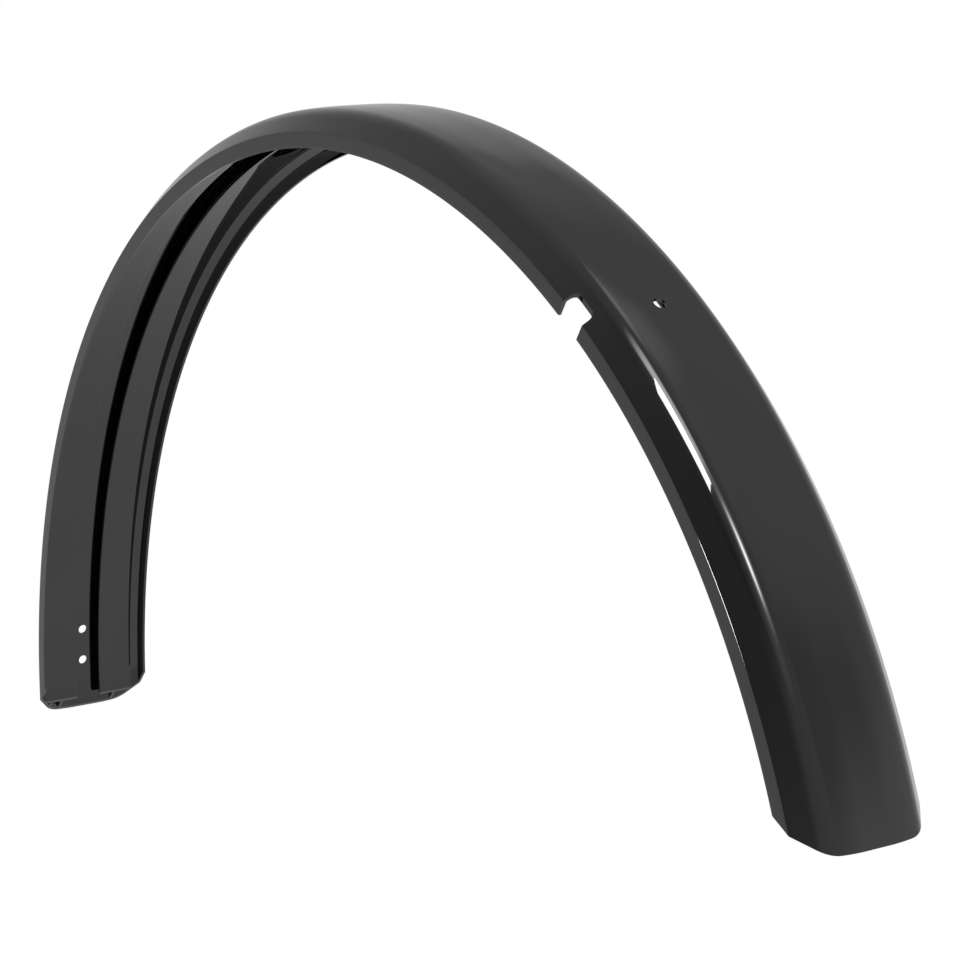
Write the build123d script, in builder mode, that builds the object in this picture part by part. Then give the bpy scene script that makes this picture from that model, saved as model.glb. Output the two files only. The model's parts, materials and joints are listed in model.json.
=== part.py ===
from build123d import *

import os
from math import cos, degrees, isclose, radians, sin, tan

# A bicycle mudguard for a 28 inch wheel: one long arch of black plastic, extruded as a
# hollow-chamber profile and bent to the wheel. Sizes are in millimetres and angles in degrees.
# The wheel's axle is the Y axis. Angles are counted about it from +X, the rear, up over +Z, the
# top, to -X, the front, where the guard is bolted to the frame. The near side is -Y.

# Profile, with heights counted outwards from the free edges of the side lips
lip_radius = 365.0  # axle to the free edge of the lips
guard_width = 68.0  # over the two lips
lip_height = 8.0  # straight lip, from its free edge to the shoulder
crown_height = 19.2  # free edge to the middle of the crown
crown_width = 47.3  # between the corners where the crown meets the shoulders
crown_flat = 13.0  # straight middle of the crown, which bends down to each side of it
crown_rise = 1.1  # how far the crown bulges over its corners
crown_corner = 14.5  # radius that rounds those corners
lip_corner = 0.25  # chamfer where a lip turns into its shoulder
free_edge = 0.4  # chamfer on the free edges of the lips and the channel's mouth
wall = 1.6  # every wall of the profile
inner_step = 2.6  # inner skin's wheel side, above the lip's top
channel_mouth = 15.0  # open width of the channel on the wheel side
channel_width = 33.6  # clear width inside the channel, between the ribs

# Length of the arch and its slanted ends
front_end_angle = 184.2  # where the front cut passes the top of the lip
rear_end_angle = 23.4  # where the rear cut passes the top of the lip
end_slant = 47.0  # each cut leans this far from the radius, so that the crown overhangs

# Fixing holes and the notch for a stay
front_hole_diameter = 5.5
front_hole_pitch = 20.0
crown_hole_diameter = 6.0
crown_hole_angle = 59.2
notch_angle = 60.9
notch_width = 16.0
notch_depth = 5.2  # inwards from the outside of the lip
notch_corner = 3.0

# Values that follow
lip_top_radius = lip_radius + lip_height
crown_radius = lip_radius + crown_height
corner_radius = crown_radius - crown_rise
inner_skin_radius = lip_top_radius + inner_step
inner_skin_middle = inner_skin_radius + wall / 2
rib_middle = (channel_width + wall) / 2
# Length that a slanted cut takes from the crown, with as much again to spare
overrun = 2 * crown_height * tan(radians(end_slant))
overrun_angle = degrees(overrun / crown_radius)


def around(angle, radius=1.0):
    """Point at an angle about the axle, or the direction out to it."""
    return Vector(radius * cos(radians(angle)), 0, radius * sin(radians(angle)))


def tangent_plane(angle, radius):
    """Plane that lies on the arch: X towards the rear, Y along the axle, Z outwards."""
    return Plane(origin=around(angle, radius), x_dir=around(angle - 90), z_dir=around(angle))


# The outline of the profile without its hollows. X is the distance from the axle.
with BuildSketch() as envelope:
    with BuildLine():
        outline = Polyline(
            (corner_radius, -crown_width / 2),
            (lip_top_radius, -guard_width / 2),
            (lip_radius, -guard_width / 2),
            (lip_radius, guard_width / 2),
            (lip_top_radius, guard_width / 2),
            (corner_radius, crown_width / 2),
        )
        flat = Line((crown_radius, -crown_flat / 2), (crown_radius, crown_flat / 2))
        TangentArc(flat @ 0, outline @ 0, tangent=-(flat % 0))
        TangentArc(flat @ 1, outline @ 1, tangent=flat % 1)
    make_face()
    crown_corners = envelope.vertices().filter_by(lambda v: isclose(v.X, corner_radius))
    fillet(crown_corners, crown_corner)
    lip_tops = envelope.vertices().filter_by(lambda v: isclose(v.X, lip_top_radius))
    chamfer(lip_tops, lip_corner)

# What is hollow: everything inside the outer skin, open towards the wheel, less the inner skin
# on each side of the channel's mouth and the rib that carries it. That leaves a T-shaped channel
# along the middle and a closed chamber along each side.
with BuildSketch() as hollow:
    add(envelope.sketch)
    offset(amount=-wall, kind=Kind.INTERSECTION)
    with Locations((lip_radius, 0)):
        Rectangle(4 * wall, guard_width - 2 * wall)
    with Locations((inner_skin_middle, 0)):
        with GridLocations(0, channel_mouth + guard_width, 1, 2):
            Rectangle(wall, guard_width, mode=Mode.SUBTRACT)
    with Locations((crown_radius, 0)):
        with GridLocations(0, 2 * rib_middle, 1, 2):
            rib_height = crown_radius - inner_skin_middle
            Rectangle(rib_height, wall, align=(Align.MAX, Align.CENTER), mode=Mode.SUBTRACT)

with BuildSketch() as profile:
    add(envelope.sketch)
    add(hollow.sketch, mode=Mode.SUBTRACT)
    chamfer(profile.vertices().group_by(Axis.X)[0], free_edge)
    mouth_edges = profile.vertices().filter_by(lambda v: isclose(abs(v.Y), channel_mouth / 2))
    chamfer(mouth_edges, free_edge)

with BuildPart() as mudguard:
    # The profile bent round the axle, a little too long at both ends
    start_angle = rear_end_angle - overrun_angle
    start = Plane(origin=(0, 0, 0), x_dir=around(start_angle), z_dir=around(start_angle + 90))
    with BuildSketch(start):
        add(profile.sketch)
    arch_angle = front_end_angle - rear_end_angle + 2 * overrun_angle
    revolve(axis=Axis((0, 0, 0), (0, -1, 0)), revolution_arc=arch_angle)

    # Slanted saw cuts: X of each plane runs out along the cut, Y points away from the arch
    front_cut = around(front_end_angle + end_slant)
    rear_cut = around(rear_end_angle - end_slant)
    for angle, cut, side in ((front_end_angle, front_cut, -1), (rear_end_angle, rear_cut, 1)):
        with BuildSketch(Plane(around(angle, lip_top_radius), x_dir=cut, z_dir=(0, side, 0))):
            Rectangle(4 * overrun, 2 * overrun, align=(Align.CENTER, Align.MIN))
        extrude(amount=guard_width, both=True, mode=Mode.SUBTRACT)

    # Notch through the near lip and the foot of its shoulder
    with BuildSketch(tangent_plane(notch_angle, lip_radius)):
        with Locations((0, -guard_width / 2)):
            RectangleRounded(notch_width, 2 * notch_depth, notch_corner)
    extrude(amount=crown_height, both=True, mode=Mode.SUBTRACT)

    # Two parallel bolt holes at the front and one screw hole in the crown, over the channel
    with Locations(tangent_plane(180, crown_radius)):
        with GridLocations(front_hole_pitch, 0, 2, 1):
            Hole(front_hole_diameter / 2, depth=crown_height)
    with Locations(tangent_plane(crown_hole_angle, crown_radius)):
        Hole(crown_hole_diameter / 2, depth=crown_height)

mudguard.part.label = "mudguard"

os.makedirs("parts", exist_ok=True)
export_step(mudguard.part, "parts/mudguard.step")
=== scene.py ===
import json
from math import acos, asin, atan2, cos, degrees, pi, radians, sin, sqrt, tan

import bmesh
import bpy
import numpy as np
from mathutils import Matrix, Vector
from mathutils.geometry import tessellate_polygon


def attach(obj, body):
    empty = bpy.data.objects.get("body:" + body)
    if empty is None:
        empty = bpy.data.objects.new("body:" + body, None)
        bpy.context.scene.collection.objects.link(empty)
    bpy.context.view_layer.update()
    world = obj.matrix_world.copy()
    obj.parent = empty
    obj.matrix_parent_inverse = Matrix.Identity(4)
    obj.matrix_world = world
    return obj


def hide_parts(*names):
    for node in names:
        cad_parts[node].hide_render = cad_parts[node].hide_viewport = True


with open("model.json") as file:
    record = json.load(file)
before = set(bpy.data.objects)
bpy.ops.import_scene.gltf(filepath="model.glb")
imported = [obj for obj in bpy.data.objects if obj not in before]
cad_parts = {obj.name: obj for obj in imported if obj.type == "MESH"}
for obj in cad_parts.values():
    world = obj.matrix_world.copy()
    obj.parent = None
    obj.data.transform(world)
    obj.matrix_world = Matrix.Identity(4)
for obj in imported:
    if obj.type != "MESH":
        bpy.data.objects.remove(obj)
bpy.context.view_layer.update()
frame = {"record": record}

# The bicycle mudguard in its finish: one arch of glossy black plastic, extruded as a hollow-chamber
# profile and bent round the wheel's axle, which is the Y axis. Sizes are in metres, angles in degrees.
# A point of the profile is (r, y): its distance from the axle, and its place along the axle.

mounts = {mount["name"]: mount for mount in frame["record"]["mounts"]}

# Profile, as in the solid
crown_radius = 0.3842
crown_height = 0.0192  # from the lips' free edges to the crown
lip_height = 0.008
half_width = 0.034
lip_radius = crown_radius - crown_height
lip_top_radius = lip_radius + lip_height
wall = 0.0016
crown_drop = 0.0011  # from the crown's middle to the corner that its shoulder line meets
corner_y = 0.02365  # that corner's distance from the middle
flat_y = 0.0065  # end of the crown's straight middle
crown_corner = 0.0145  # radius of the crown's rounded corners
inner_step = 0.0026  # from the top of the lips out to the inner skin
skin_radius = lip_top_radius + inner_step  # wheel side of the inner skin
mouth_y = 0.0075  # free edge of the inner skin, at the channel's mouth
rib_y = 0.0168  # channel side of each rib
lip_corner = 0.0006  # rounding where a lip turns into its shoulder
edge_round = 0.00015  # rounding of the free edges
root_round = 0.0005  # rounding in the inner corners

# Ends
front_end = 184.2
rear_end = 23.4
end_slant = 47.0

# Notch in the near lip
notch_angle = 60.9
notch_length = 0.016
notch_depth = 0.0052
notch_corner = 0.003

# Fineness of the mesh
arch_steps = 340
chamber_steps = 60
crown_steps, ceiling_steps = 14, 10  # in the crown's wide arc, outside and inside
corner_steps, inner_corner_steps = 24, 12  # in a crown corner, outside and inside
bend_steps = 6  # in a small rounding
notch_steps = 10  # in a rounded corner of the notch
hole_steps = 48
sharp_angle = 35  # edges that turn by more stay sharp
run_step = 0.0025  # longest step along a straight run of the profile


# Profile

def run(start, end):
    """Evenly spaced points on the straight run from start up to, and without, end."""
    start, end = np.array(start), np.array(end)
    steps = max(1, int(np.ceil(np.linalg.norm(end - start) / run_step)))
    share = np.arange(steps)[:, None] / steps
    return start + share * (end - start)


def arc(centre, radius, start, end, steps):
    """Points on a circle about centre, from angle start up to, and without, end, in radians."""
    angle = start + np.arange(steps) / steps * (end - start)
    return np.stack([centre[0] + radius * np.cos(angle), centre[1] + radius * np.sin(angle)], axis=-1)


def rounded(before, corner, after, radius, steps=bend_steps):
    """Arc of the given radius that takes the corner off between two straight runs.

    The centre lies on the corner's bisector, radius / sin(half the corner's angle) away, and the arc
    goes from its foot on the run before the corner to its foot on the run after it.
    """
    before, corner, after = np.array(before), np.array(corner), np.array(after)
    back = (before - corner) / np.linalg.norm(before - corner)
    ahead = (after - corner) / np.linalg.norm(after - corner)
    half = acos(np.clip(back @ ahead, -1, 1)) / 2
    bisector = (back + ahead) / np.linalg.norm(back + ahead)
    centre = corner + bisector * radius / sin(half)
    reach = radius / tan(half)
    first = corner + back * reach - centre
    last = corner + ahead * reach - centre
    start = atan2(first[1], first[0])
    turn = atan2(first[0] * last[1] - first[1] * last[0], first @ last)
    return arc(centre, radius, start, start + turn, steps), centre + last


def crown_arcs():
    """Centres and angles of the two arcs on one side of the crown.

    The wide one is tangent to the flat at flat_y and passes the sharp corner (crown_drop, corner_y).
    The corner's arc touches the wide one from inside and the shoulder line, so its centre is crown_corner
    inside that line and (wide radius - crown_corner) from the wide one's centre.
    """
    side = corner_y - flat_y
    wide = (side ** 2 + crown_drop ** 2) / (2 * crown_drop)
    wide_centre = np.array([crown_radius - wide, flat_y])
    corner = np.array([crown_radius - crown_drop, corner_y])
    foot = np.array([lip_top_radius, half_width])
    along = (foot - corner) / np.linalg.norm(foot - corner)
    inward = np.array([-along[1], along[0]])
    inward *= np.sign(inward @ (np.array([lip_radius, 0]) - corner))
    base = corner + inward * crown_corner - wide_centre
    reach = wide - crown_corner
    slide = -(base @ along) - sqrt((base @ along) ** 2 - base @ base + reach ** 2)
    centre = wide_centre + base + slide * along
    touch = centre - wide_centre
    return wide, wide_centre, centre, atan2(touch[1], touch[0]), atan2(-inward[1], -inward[0]), along, inward


wide, wide_centre, corner_centre, touch_angle, shoulder_angle, shoulder_along, shoulder_inward = crown_arcs()


def shoulder_line(depth, r=None, y=None):
    """Point of the shoulder line moved inwards by depth, at the given r or y."""
    base = np.array([lip_top_radius, half_width]) + shoulder_inward * depth
    if r is not None:
        return base + shoulder_along * (r - base[0]) / shoulder_along[0]
    return base + shoulder_along * (y - base[1]) / shoulder_along[1]


def wall_profile():
    """The closed outline of the wall, round the outside and back through the open channel.

    One side goes from the middle of the channel's ceiling along rib, inner skin, lip, shoulder and crown
    to the middle of the crown, and the other side is its mirror image.
    """
    ceiling = wide - wall
    rib_angle = asin((rib_y - flat_y) / ceiling)
    rib_top = wide_centre + ceiling * np.array([cos(rib_angle), sin(rib_angle)])
    skin_top = skin_radius + wall
    rib_foot = (skin_top, rib_y)
    mouth_out, mouth_in = (skin_top, mouth_y), (skin_radius, mouth_y)
    skin_end = shoulder_line(wall, r=skin_radius)
    lip_root = shoulder_line(wall, y=half_width - wall)
    lip_inner, lip_outer = (lip_radius, half_width - wall), (lip_radius, half_width)
    lip_top = (lip_top_radius, half_width)
    shoulder_top = corner_centre - shoulder_inward * crown_corner

    corners = [
        (rib_top, rib_foot, mouth_out, root_round),
        (rib_foot, mouth_out, mouth_in, edge_round),
        (mouth_out, mouth_in, skin_end, edge_round),
        (mouth_in, skin_end, lip_root, root_round),
        (skin_end, lip_root, lip_inner, root_round),
        (lip_root, lip_inner, lip_outer, edge_round),
        (lip_inner, lip_outer, lip_top, edge_round),
        (lip_outer, lip_top, shoulder_top, lip_corner),
    ]
    pieces = [
        run((crown_radius - wall, 0), (crown_radius - wall, flat_y)),
        arc(wide_centre, ceiling, 0, rib_angle, ceiling_steps),
    ]
    last = rib_top
    for before, corner, after, radius in corners:
        bend, foot = rounded(before, corner, after, radius)
        pieces += [run(last, bend[0]), bend]
        last = foot
    pieces += [
        run(last, shoulder_top),
        arc(corner_centre, crown_corner, shoulder_angle, touch_angle, corner_steps),
        arc(wide_centre, wide, touch_angle, 0, crown_steps),
        run((crown_radius, flat_y), (crown_radius, 0)),
        np.array([[crown_radius, 0]]),
    ]
    side = np.concatenate(pieces)
    other = side[1:-1][::-1] * (1, -1)
    return np.concatenate([side, other])


def chamber_profile(sign):
    """The closed outline of the hollow between a rib, the inner skin, the shoulder and the crown.

    The rib's outer face runs up to the crown corner's arc, moved inwards by the wall, and so ends at the
    angle whose sine is its distance from the arc's centre along the axle over the arc's radius.
    """
    rib_outer = rib_y + wall
    inner_corner = crown_corner - wall
    rib_angle = asin((rib_outer - corner_centre[1]) / inner_corner)
    rib_top = corner_centre + inner_corner * np.array([cos(rib_angle), sin(rib_angle)])
    floor_radius = skin_radius + wall
    tip = shoulder_line(wall, r=floor_radius)
    shoulder_top = corner_centre - shoulder_inward * inner_corner
    outline = np.concatenate([
        run((floor_radius, rib_outer), tip),
        run(tip, shoulder_top),
        arc(corner_centre, inner_corner, shoulder_angle, rib_angle, inner_corner_steps),
        run(rib_top, (floor_radius, rib_outer)),
    ])
    return outline * (1, sign)


# Arch

def end_angles(r):
    """Angles at which the two slanted saw cuts pass radius r.

    A cut leaves the top of the lip at end_slant from the radius, so by the law of sines it has run on by
    end_slant - asin(lip_top_radius * sin(end_slant) / r) at radius r.
    """
    slant = radians(end_slant)
    on = slant - np.arcsin(lip_top_radius * sin(slant) / r)
    return radians(rear_end) - on, radians(front_end) + on


def swept(profile, steps):
    """Grid of points: the profile turned about the axle from the rear cut to the front one."""
    r, y = profile[:, 0], profile[:, 1]
    rear, front = end_angles(r)
    share = np.linspace(0, 1, steps + 1)[:, None]
    angle = rear + share * (front - rear)
    return np.stack([r * np.cos(angle), np.broadcast_to(y, angle.shape), r * np.sin(angle)], axis=-1)


def tube_faces(rows, columns, first):
    """Four-sided faces of a grid of points that closes on itself across its columns."""
    row = np.arange(rows - 1)[:, None]
    column = np.arange(columns)
    after = (column + 1) % columns
    here, ahead = row * columns, (row + 1) * columns
    corners = [here + column, here + after, ahead + after, ahead + column]
    return np.stack(corners, axis=-1).reshape(-1, 4) + first


def arch_mesh():
    """The wall, its two chambers and the faces of the two saw cuts, as one closed mesh."""
    profiles = [wall_profile(), chamber_profile(1), chamber_profile(-1)]
    points, faces, rings = [], [], []
    first = 0
    for profile, steps in zip(profiles, (arch_steps, chamber_steps, chamber_steps)):
        grid = swept(profile, steps)
        count = len(profile)
        points.append(grid.reshape(-1, 3))
        faces += tube_faces(steps + 1, count, first).tolist()
        rings.append((np.arange(count) + first, np.arange(count) + first + steps * count))
        first += (steps + 1) * count
    flat = [[Vector((r, y, 0)) for r, y in profile] for profile in profiles]
    cap = np.array(tessellate_polygon(flat))
    for end in (0, 1):
        ring = np.concatenate([pair[end] for pair in rings])
        faces += ring[cap].tolist()
    mesh = bpy.data.meshes.new("mudguard_skin")
    mesh.from_pydata(np.concatenate(points).tolist(), [], faces)
    mesh.update()
    return mesh


def show(name, mesh):
    """Object of that mesh at the origin, in the scene."""
    piece = bpy.data.objects.new(name, mesh)
    bpy.context.scene.collection.objects.link(piece)
    return piece


def recalculated(mesh):
    """The mesh with all its faces turned outwards."""
    work = bmesh.new()
    work.from_mesh(mesh)
    bmesh.ops.recalc_face_normals(work, faces=work.faces)
    work.to_mesh(mesh)
    work.free()
    return mesh


def prism_mesh(outline, low, high, place):
    """Closed prism over a flat outline, from height low to high, in the frame that place gives."""
    count = len(outline)
    bottom = np.column_stack([outline, np.full(count, low)])
    top = np.column_stack([outline, np.full(count, high)])
    ring = np.arange(count)
    after = (ring + 1) % count
    sides = np.stack([ring, after, after + count, ring + count], axis=-1).tolist()
    ends = [ring[::-1].tolist(), (ring + count).tolist()]
    mesh = bpy.data.meshes.new("cutter")
    mesh.from_pydata(np.concatenate([bottom, top]).tolist(), [], ends + sides)
    mesh.transform(place)
    return recalculated(mesh)


def tangent_place(angle, radius, y=0.0):
    """Frame that lies on the arch: X towards the rear, Y along the axle, Z outwards."""
    a = radians(angle)
    out = Vector((cos(a), 0, sin(a)))
    rear = Vector((sin(a), 0, -cos(a)))
    axle = Vector((0, 1, 0))
    place = Matrix((rear, axle, out)).transposed().to_4x4()
    place.translation = out * radius + axle * y
    return place


def circle(radius, steps=hole_steps):
    """Points on a circle about the origin."""
    return arc((0, 0), radius, 0, 2 * pi, steps)


def notch_outline():
    """Rectangle across the lip's outside, with its two inner corners rounded."""
    half, depth = notch_length / 2, notch_depth
    corners = [(-half, -depth), (half, -depth), (half, depth), (-half, depth)]
    bend, foot = rounded(corners[1], corners[2], corners[3], notch_corner, notch_steps)
    inner = np.concatenate([bend, [foot]])
    return np.concatenate([np.array(corners[:2]), inner, inner[::-1] * (-1, 1)])


def cut(piece, cutters):
    """Takes the cutters out of the piece and keeps the result as its mesh."""
    tools = []
    for mesh in cutters:
        tool = show("cutter", mesh)
        modifier = piece.modifiers.new("cut", "BOOLEAN")
        modifier.operation = "DIFFERENCE"
        modifier.solver = "EXACT"
        modifier.object = tool
        tools.append(tool)
    view = bpy.context.evaluated_depsgraph_get()
    result = bpy.data.meshes.new_from_object(piece.evaluated_get(view))
    piece.modifiers.clear()
    piece.data = result
    for tool in tools:
        bpy.data.objects.remove(tool)


def mount_angle(mount):
    """Where a mount sits on the arch, in degrees about the axle."""
    x, _, z = mount["pos_m"]
    return degrees(atan2(z, x))


def make_mudguard():
    """The arch less its notch, the two holes at the front and the one in the crown."""
    piece = show("mudguard_body", recalculated(arch_mesh()))
    front, crown = mounts["front_bolts"], mounts["crown_hole"]
    pitch = front["dims"]["spacing_y_mm"] / 1000
    front_hole = circle(front["dims"]["hole_r_mm"] / 1000)
    crown_hole = circle(crown["dims"]["r_mm"] / 1000)
    notch_place = tangent_place(notch_angle, lip_radius, -half_width)
    front_place = tangent_place(mount_angle(front), crown_radius)
    crown_place = tangent_place(mount_angle(crown), crown_radius)
    holes = [(notch_outline(), notch_place)]
    for side in (-0.5, 0.5):
        holes.append((front_hole, front_place @ Matrix.Translation((side * pitch, 0, 0))))
    holes.append((crown_hole, crown_place))
    cut(piece, [prism_mesh(outline, -crown_height, crown_height, place) for outline, place in holes])
    piece.data.polygons.foreach_set("use_smooth", np.ones(len(piece.data.polygons), bool))
    piece.data.set_sharp_from_angle(angle=radians(sharp_angle))
    return piece


# Finish

plastic_ior = 1.56
darker_black = (0.0022, 0.0022, 0.0024, 1)
lighter_black = (0.0040, 0.0040, 0.0042, 1)
cloud_gloss = (0.022, 0.034)  # roughness over the clouds
line_gloss = (-0.004, 0.006)  # what the lines add to it
relief_strength = 0.10
relief_depth = 0.00002
grain_share = 0.4  # height of the grain to that of the lines
noise_span = (0.3, 0.7)  # values of a noise between which a roughness goes from its low to its high end
# Noises: stretch along the arch, scale, detail
line_noise = (0.012, 900, 2)
cloud_noise = (1, 14, 3)
grain_noise = (1, 2600, 1)


def link_chain(tree, *sockets):
    """Links sockets in pairs: each first one to the one that follows it."""
    for source, target in zip(sockets[::2], sockets[1::2]):
        tree.links.new(source, target)


def math_node(tree, operation, *inputs):
    """Math node with numbers or sockets on its inputs; gives its output."""
    node = tree.nodes.new("ShaderNodeMath")
    node.operation = operation
    for socket, value in zip(node.inputs, inputs):
        if isinstance(value, bpy.types.NodeSocket):
            tree.links.new(value, socket)
        else:
            socket.default_value = value
    return node.outputs[0]


def black_plastic():
    """Glossy black plastic: faint die lines along the arch, a fine grain and soft cloudiness of its gloss.

    The pattern's coordinates are the distance from the axle, the length along the arch and the place along
    the axle, worked out from Object coordinates, so the lines follow the bend.
    """
    material = bpy.data.materials.new("black_plastic")
    material.use_nodes = True
    tree = material.node_tree
    shader = tree.nodes["Principled BSDF"]
    shader.inputs["IOR"].default_value = plastic_ior
    place = tree.nodes.new("ShaderNodeTexCoord").outputs["Object"]
    parts = tree.nodes.new("ShaderNodeSeparateXYZ")
    tree.links.new(place, parts.inputs[0])
    x, y, z = parts.outputs
    x_square, z_square = (math_node(tree, "MULTIPLY", part, part) for part in (x, z))
    out = math_node(tree, "SQRT", math_node(tree, "ADD", x_square, z_square))
    along = math_node(tree, "MULTIPLY", math_node(tree, "ARCTAN2", z, x), crown_radius)
    bent = tree.nodes.new("ShaderNodeCombineXYZ")
    link_chain(tree, out, bent.inputs[0], along, bent.inputs[1], y, bent.inputs[2])

    def noise(source, stretch, scale, detail):
        mapping = tree.nodes.new("ShaderNodeMapping")
        mapping.inputs["Scale"].default_value = (1, stretch, 1)
        node = tree.nodes.new("ShaderNodeTexNoise")
        node.inputs["Scale"].default_value = scale
        node.inputs["Detail"].default_value = detail
        link_chain(tree, source, mapping.inputs[0], mapping.outputs[0], node.inputs["Vector"])
        return node.outputs["Fac"]

    def ranged(value, low, high):
        node = tree.nodes.new("ShaderNodeMapRange")
        node.inputs["From Min"].default_value, node.inputs["From Max"].default_value = noise_span
        node.inputs["To Min"].default_value = low
        node.inputs["To Max"].default_value = high
        tree.links.new(value, node.inputs["Value"])
        return node.outputs[0]

    lines = noise(bent.outputs[0], *line_noise)
    clouds = noise(place, *cloud_noise)
    grain = noise(place, *grain_noise)

    tone = tree.nodes.new("ShaderNodeMix")
    tone.data_type = "RGBA"
    tone.inputs["A"].default_value = darker_black
    tone.inputs["B"].default_value = lighter_black
    link_chain(tree, clouds, tone.inputs["Factor"], tone.outputs["Result"], shader.inputs["Base Color"])
    gloss = math_node(tree, "ADD", ranged(clouds, *cloud_gloss), ranged(lines, *line_gloss))
    tree.links.new(gloss, shader.inputs["Roughness"])
    relief = tree.nodes.new("ShaderNodeBump")
    relief.inputs["Strength"].default_value = relief_strength
    relief.inputs["Distance"].default_value = relief_depth
    height = math_node(tree, "ADD", lines, math_node(tree, "MULTIPLY", grain, grain_share))
    link_chain(tree, height, relief.inputs["Height"], relief.outputs[0], shader.inputs["Normal"])
    return material


guard = make_mudguard()
guard.data.materials.clear()
guard.data.materials.append(black_plastic())
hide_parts("mudguard")
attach(guard, "root")

# Studio

camera_place = Vector((1.12448, -0.69603, 0.57479))
camera_target = Vector((0.06206, 0.0, 0.21837))
camera_lean = 3.117  # of its upright towards -X, in degrees
focal_length = 104.71
sensor_width = 36.0
nearest_seen = 0.01

ground = -0.361  # where the wheel stands
floor_reach = 1.05
floor_steps = 96
floor_colour = (0.8, 0.8, 0.8, 1)
floor_shade = (0.4, 0.4, 0.4, 1)  # its colour beside the glow, which keeps the shadow
floor_glow = 0.765  # what makes the floor white to the camera
floor_fading = (-1.05, 0.05, 0.31, 0.78)  # from and to X, and the glow that glossy rays see there
lamp_height = 4.0  # over the middle of the rear leg, which the lamps are set out from
lamp_middle = Vector((0.25, -0.02, 0.29))
fill_light = 0.35

# The studio as a glossy surface sees it: tone of the room above the horizon and what the pale ground adds
room_tone = 0.544
ground_tone = 0.20
ground_edge = (0.0, 0.3)  # sines of the angle below the horizon over which the ground comes in
# Soft panels (brighter) and flags (darker) on the studio's sides: azimuth, elevation, reach, tone
side_panels = {
    "ground glow": (30, -40, 112, 0.265),
    "low panel": (49, 3, 25, 0.23),
    "high panel": (72, 61, 35, 0.18),
    "front flag": (175, 33, 22, -0.10),
    "near flag": (-80, 22, 49, -0.30),
    "far flag": (110, 31, 39, -0.11),
    "rear flag": (34, 29, 17, -0.16),
    "front ground": (-165, -15, 20, -0.06),
    "rear ground": (42, -18, 22, 0.12),
    "far panel": (137, 24, 9, 0.06),
}
# Oval lamps (brighter) and flags (darker) on the ceiling, as slopes of the ray, its X and Y over its Z:
# middle, half axes, tone
ceiling_ovals = {
    "oval lamp": (0.70, -0.135, 0.235, 0.125, 16.5),
    "oval lamp glow": (0.70, -0.135, 0.42, 0.25, 3.0),
    "oval lamp halo": (1.08, -0.26, 0.48, 0.44, 0.32),
    "overhead spot": (-0.095, 0.235, 0.20, 0.17, 1.35),
    "overhead glow": (-0.09, 0.47, 0.24, 0.27, 0.50),
    "white sheet": (0.30, 0.45, 0.45, 0.30, 0.08),
    "front sheet": (-0.50, 0.0, 0.60, 0.70, 0.08),
    "rear dark": (0.75, -0.80, 0.75, 0.45, -0.15),
    "front dark": (-0.12, -0.50, 0.25, 0.35, -0.15),
    "far dark": (-0.85, 1.50, 0.60, 0.40, -0.11),
    "crown dark": (-1.20, 0.95, 0.45, 0.26, -0.07),
}
# Grey softbox beside the square one, as slopes of the ray (its X or Y over its Z): soft edges from and to
grey_start, grey_end = (-0.05, 0.11), (0.31, 0.46)
grey_near, grey_far = (-0.375, -0.26), (-0.14, 0.0)
grey_tone = 6.6
# Strip light low on the near side: the plane that it lies along, how far it is off that plane as a sine,
# half its width as a sine, its middle and its reach along the plane in degrees, its tone. Each softness is
# how far an edge fades to either side of its line.
strip_normal = (0.632, -0.220, -0.743)
strip_offset = -0.0165
strip_half_width = 0.059
strip_softness = 0.006
strip_middle = (-0.221, -0.970, 0.099)
strip_reach = 12
strip_end_softness = 2
strip_tone = 48
lowest_height = 0.05  # of a ray's Z, so that slopes stay finite near the horizon


def make_camera():
    """Camera that looks from its place to its target, with its upright leant in the XZ plane."""
    data = bpy.data.cameras.new("camera")
    data.lens = focal_length
    data.sensor_width = sensor_width
    data.clip_start = nearest_seen
    camera = bpy.data.objects.new("camera", data)
    bpy.context.scene.collection.objects.link(camera)
    back = (camera_place - camera_target).normalized()
    lean = radians(camera_lean)
    right = Vector((-sin(lean), 0, cos(lean))).cross(back).normalized()
    up = back.cross(right)
    place = Matrix((right, up, back)).transposed().to_4x4()
    place.translation = camera_place
    camera.matrix_world = place
    bpy.context.scene.camera = camera


def seen_plainly(tree):
    """Two sockets: one is 1 for camera rays, the other for the glossy and transmission rays."""
    path = tree.nodes.new("ShaderNodeLightPath")
    mirror = math_node(tree, "MAXIMUM", path.outputs["Is Glossy Ray"], path.outputs["Is Transmission Ray"])
    return path.outputs["Is Camera Ray"], mirror


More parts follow.
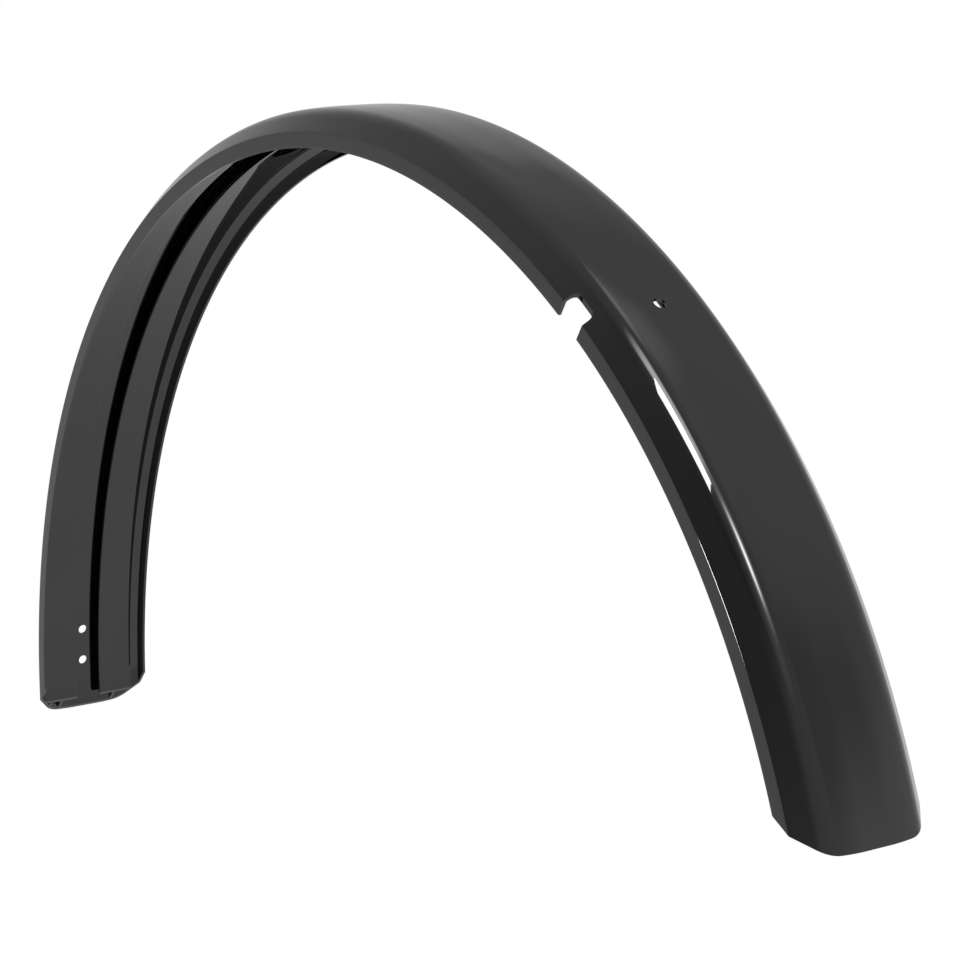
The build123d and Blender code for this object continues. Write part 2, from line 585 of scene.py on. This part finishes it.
def make_world():
    """White to the camera, a soft studio to glossy rays and an even fill light to the rest.

    A side panel adds its tone times a smooth step of the cosine between the ray and the panel's middle. An
    oval on the ceiling adds its tone times (1 - u^2 - v^2)^2, with u and v the slopes from its middle over
    its half axes. The strip adds its tone where the ray is near the strip's plane and near its middle.
    """
    world = bpy.data.worlds.new("studio")
    bpy.context.scene.world = world
    world.use_nodes = True
    tree = world.node_tree
    direction = tree.nodes.new("ShaderNodeTexCoord").outputs["Generated"]

    def soft_step(value, low, high, tone):
        node = tree.nodes.new("ShaderNodeMapRange")
        node.interpolation_type = "SMOOTHSTEP"
        node.inputs["From Min"].default_value = low
        node.inputs["From Max"].default_value = high
        node.inputs["To Min"].default_value = 0
        node.inputs["To Max"].default_value = tone
        tree.links.new(value, node.inputs["Value"])
        return node.outputs[0]

    def towards(axis):
        node = tree.nodes.new("ShaderNodeVectorMath")
        node.operation = "DOT_PRODUCT"
        node.inputs[1].default_value = axis
        tree.links.new(direction, node.inputs[0])
        return node.outputs["Value"]

    tone = math_node(tree, "ADD", room_tone, soft_step(towards((0, 0, -1)), *ground_edge, ground_tone))
    for azimuth, elevation, reach, change in side_panels.values():
        a, e = radians(azimuth), radians(elevation)
        axis = (cos(e) * cos(a), cos(e) * sin(a), sin(e))
        tone = math_node(tree, "ADD", tone, soft_step(towards(axis), cos(radians(reach)), 1, change))
    height = math_node(tree, "MAXIMUM", towards((0, 0, 1)), lowest_height)
    across = math_node(tree, "DIVIDE", towards((1, 0, 0)), height)
    beside = math_node(tree, "DIVIDE", towards((0, 1, 0)), height)
    for middle_across, middle_beside, half_across, half_beside, change in ceiling_ovals.values():
        u = math_node(tree, "DIVIDE", math_node(tree, "SUBTRACT", across, middle_across), half_across)
        v = math_node(tree, "DIVIDE", math_node(tree, "SUBTRACT", beside, middle_beside), half_beside)
        spread = math_node(tree, "ADD", math_node(tree, "MULTIPLY", u, u), math_node(tree, "MULTIPLY", v, v))
        peak = math_node(tree, "MAXIMUM", math_node(tree, "SUBTRACT", 1, spread), 0)
        lobe = math_node(tree, "MULTIPLY", math_node(tree, "POWER", peak, 2), change)
        tone = math_node(tree, "ADD", tone, lobe)
    grey = soft_step(across, *grey_start, grey_tone)
    for slope, edges in ((across, grey_end), (beside, grey_near[::-1]), (beside, grey_far)):
        kept = math_node(tree, "SUBTRACT", 1, soft_step(slope, *edges, 1))
        grey = math_node(tree, "MULTIPLY", grey, kept)
    tone = math_node(tree, "ADD", tone, grey)
    band = math_node(tree, "ABSOLUTE", math_node(tree, "SUBTRACT", towards(strip_normal), strip_offset))
    band = soft_step(band, strip_half_width + strip_softness, strip_half_width - strip_softness, strip_tone)
    outer_end = cos(radians(strip_reach + strip_end_softness))
    inner_end = cos(radians(strip_reach - strip_end_softness))
    stretch = soft_step(towards(strip_middle), outer_end, inner_end, 1)
    tone = math_node(tree, "ADD", tone, math_node(tree, "MULTIPLY", band, stretch))
    camera_ray, mirror_ray = seen_plainly(tree)
    shade = tree.nodes.new("ShaderNodeMix")
    shade.inputs["A"].default_value = fill_light
    link_chain(tree, mirror_ray, shade.inputs["Factor"], tone, shade.inputs["B"])
    strength = math_node(tree, "MAXIMUM", camera_ray, shade.outputs["Result"])
    tree.links.new(strength, tree.nodes["Background"].inputs["Strength"])
    tree.nodes["Background"].inputs["Color"].default_value = (1, 1, 1, 1)


def make_lamp(name, across, beside, size, turn, tone):
    """Rectangular area lamp on the ceiling, facing down, at slopes across (X) and beside (Y) from the object.

    It is turned about the vertical, and its power is pi x tone x area, which makes its face as bright as
    the tone says.
    """
    data = bpy.data.lights.new(name, "AREA")
    data.shape = "RECTANGLE"
    data.size, data.size_y = (length * lamp_height for length in size)
    data.energy = pi * tone * data.size * data.size_y
    lamp = bpy.data.objects.new(name, data)
    lamp.location = lamp_middle + lamp_height * Vector((across, beside, 1))
    lamp.rotation_euler.z = radians(turn)
    bpy.context.scene.collection.objects.link(lamp)


def make_floor():
    """Plain pale disc, white to the camera apart from the object's shadow.

    To glossy rays its glow fades along X, from the rear to the front.
    """
    rim = np.column_stack([circle(floor_reach, floor_steps), np.full(floor_steps, ground)])
    mesh = bpy.data.meshes.new("floor")
    mesh.from_pydata(rim.tolist(), [], [list(range(floor_steps))])
    floor = show("floor", mesh)
    material = bpy.data.materials.new("pale_floor")
    material.use_nodes = True
    tree = material.node_tree
    tree.nodes.remove(tree.nodes["Principled BSDF"])
    matt = tree.nodes.new("ShaderNodeBsdfDiffuse")
    matt.inputs["Color"].default_value = floor_colour
    shaded = tree.nodes.new("ShaderNodeBsdfDiffuse")
    shaded.inputs["Color"].default_value = floor_shade
    camera_ray, mirror_ray = seen_plainly(tree)
    place = tree.nodes.new("ShaderNodeSeparateXYZ")
    tree.links.new(tree.nodes.new("ShaderNodeTexCoord").outputs["Object"], place.inputs[0])
    fading = tree.nodes.new("ShaderNodeMapRange")
    tree.links.new(place.outputs["X"], fading.inputs["Value"])
    for socket, value in zip(("From Min", "From Max", "To Min", "To Max"), floor_fading):
        fading.inputs[socket].default_value = value
    white = tree.nodes.new("ShaderNodeEmission")
    lit = math_node(tree, "MAXIMUM", fading.outputs[0], math_node(tree, "MULTIPLY", camera_ray, floor_glow))
    tree.links.new(lit, white.inputs["Strength"])
    pale = tree.nodes.new("ShaderNodeAddShader")
    link_chain(tree, shaded.outputs[0], pale.inputs[0], white.outputs[0], pale.inputs[1])
    mix = tree.nodes.new("ShaderNodeMixShader")
    seen = math_node(tree, "MAXIMUM", camera_ray, mirror_ray)
    surface = tree.nodes["Material Output"].inputs["Surface"]
    link_chain(tree, seen, mix.inputs[0], matt.outputs[0], mix.inputs[1], pale.outputs[0], mix.inputs[2])
    link_chain(tree, mix.outputs[0], surface)
    floor.data.materials.append(material)


make_camera()
make_world()
make_floor()
make_lamp("square softbox", across=0.266, beside=-0.395, size=(0.333, 0.297), turn=-3, tone=21)
bpy.context.scene.view_settings.view_transform = "Standard"
